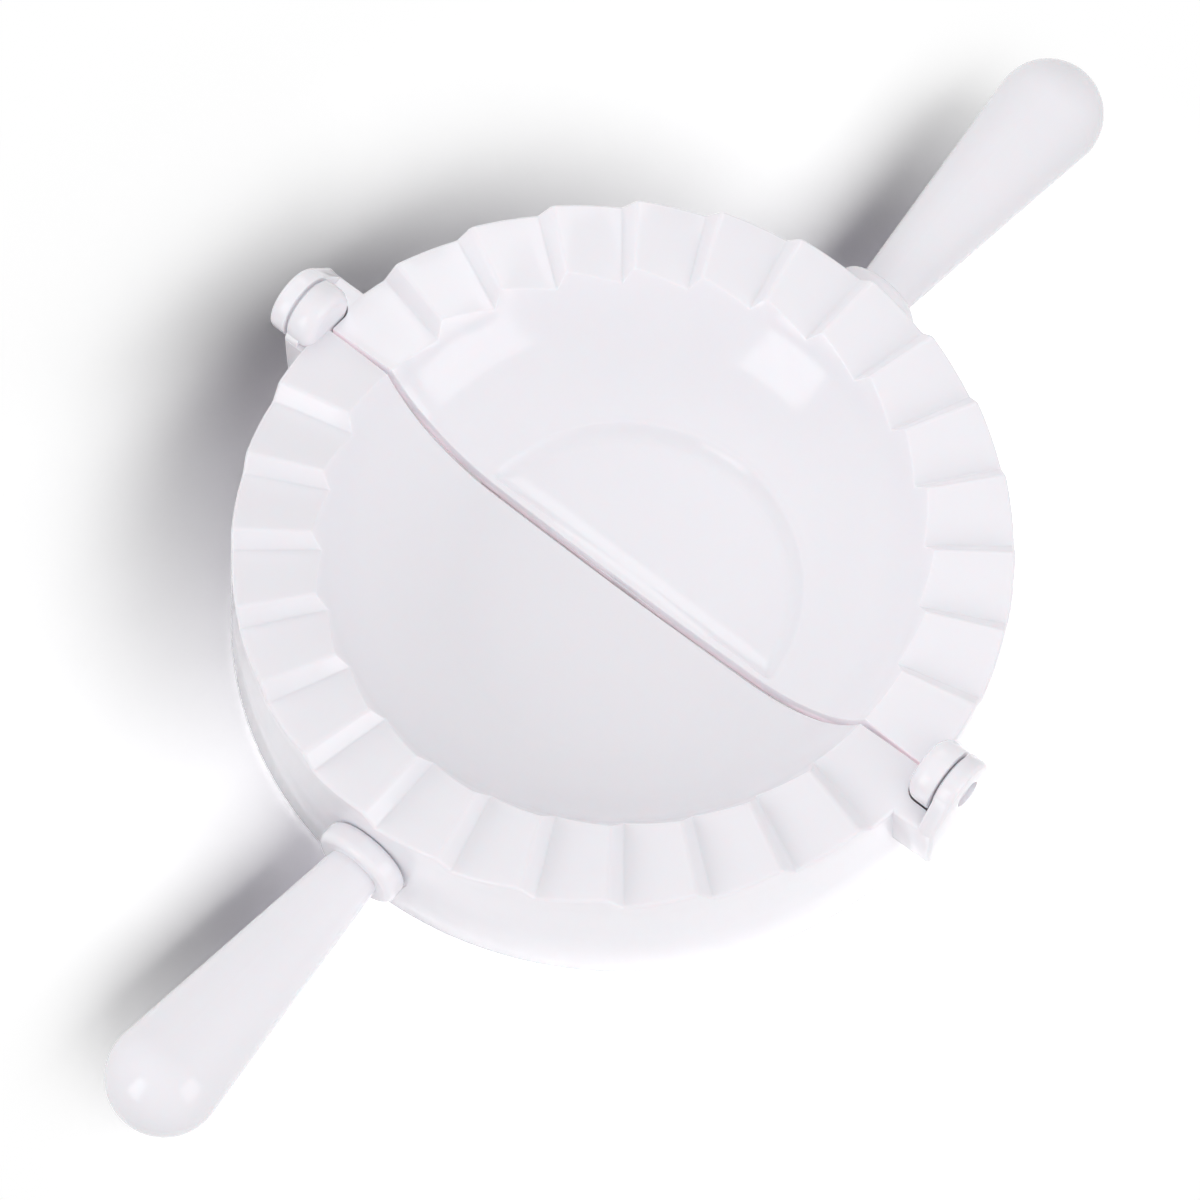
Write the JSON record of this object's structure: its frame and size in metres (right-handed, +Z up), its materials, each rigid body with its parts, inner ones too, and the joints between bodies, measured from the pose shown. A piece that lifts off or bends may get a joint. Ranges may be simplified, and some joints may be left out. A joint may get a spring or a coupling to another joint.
{
  "type": "empanada press",
  "caption": "Hinged dough press: half bowls with a toothed crimping rim fold together, and the skirt under the rims cuts the dough disc.",
  "frame": {"origin": "middle of the open press on the table, under the middle of the hinge line", "axes": "+Z up, +Y along the hinge line, +X from the base jaw's handle to the folding jaw's handle; the rims lie open and level"},
  "size_m": [0.2908, 0.167, 0.0376],
  "materials": {
    "jaw_plastic": "glossy moulded",
    "handle_plastic": "glossy moulded",
    "pin_plastic": "glossy moulded",
    "screw_steel": "zinc plated"
  },
  "bodies": {
    "base": {"base_jaw": "jaw_plastic", "base_handle": "handle_plastic", "base_handle_screw": "screw_steel", "base_hinge_pin": "pin_plastic"},
    "folding": {"folding_jaw": "jaw_plastic", "folding_handle": "handle_plastic", "folding_handle_screw": "screw_steel", "folding_hinge_pin": "pin_plastic"}
  },
  "joints": [
    {"name": "jaw_fold", "type": "hinge", "parent": "base", "child": "folding", "pos_m": [0, 0, 0.0308], "axis": [0, -1, 0], "range_deg": [0, 180]}
  ]
}
